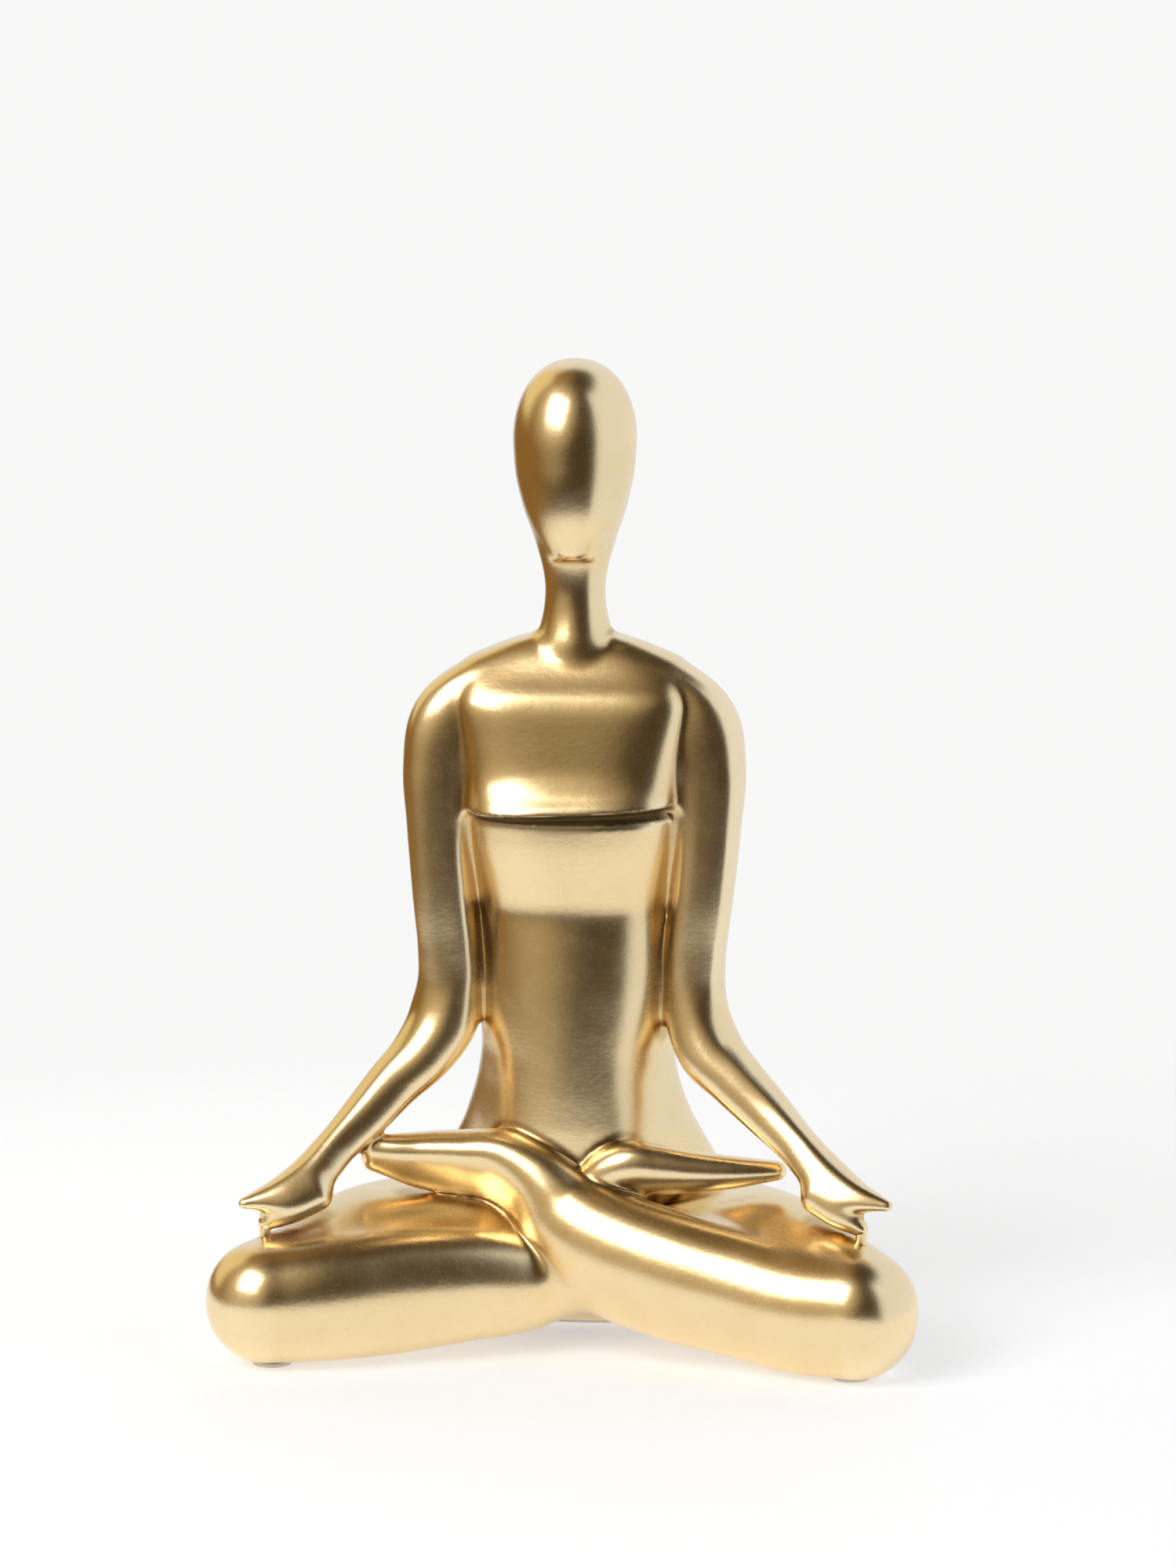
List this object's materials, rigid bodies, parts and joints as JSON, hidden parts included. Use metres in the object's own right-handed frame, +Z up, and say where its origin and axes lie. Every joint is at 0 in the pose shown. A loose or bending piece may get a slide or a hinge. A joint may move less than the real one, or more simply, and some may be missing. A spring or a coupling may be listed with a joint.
{
  "type": "meditation figurine",
  "caption": "Abstract faceless figure seated cross-legged with hands resting on its knees, in satin gold, free-standing on felt pads.",
  "frame": {"origin": "middle of the footprint on the table: the centre of the bounding box's bottom", "axes": "+Z up, the figure faces -Y, +X towards the figure's left"},
  "size_m": [0.1652, 0.0884, 0.23],
  "materials": {
    "gold_casting": "satin",
    "pin_steel": "satin",
    "plate_plastic": "matte",
    "plug_rubber": "matte",
    "felt": "matte"
  },
  "bodies": {
    "root": {"head": "gold_casting", "torso": "gold_casting", "right_arm": "gold_casting", "left_arm": "gold_casting", "right_leg": "gold_casting", "left_leg": "gold_casting", "right_hand_peg": "gold_casting", "left_hand_peg": "gold_casting", "neck_pin": "pin_steel", "right_shoulder_pin": "pin_steel", "left_shoulder_pin": "pin_steel", "right_hip_pin": "pin_steel", "left_hip_pin": "pin_steel", "shin_pin": "pin_steel", "seat_plate": "plate_plastic", "vent_plug": "plug_rubber", "seat_felt": "felt", "right_knee_felt": "felt", "left_knee_felt": "felt"}
  },
  "joints": []
}
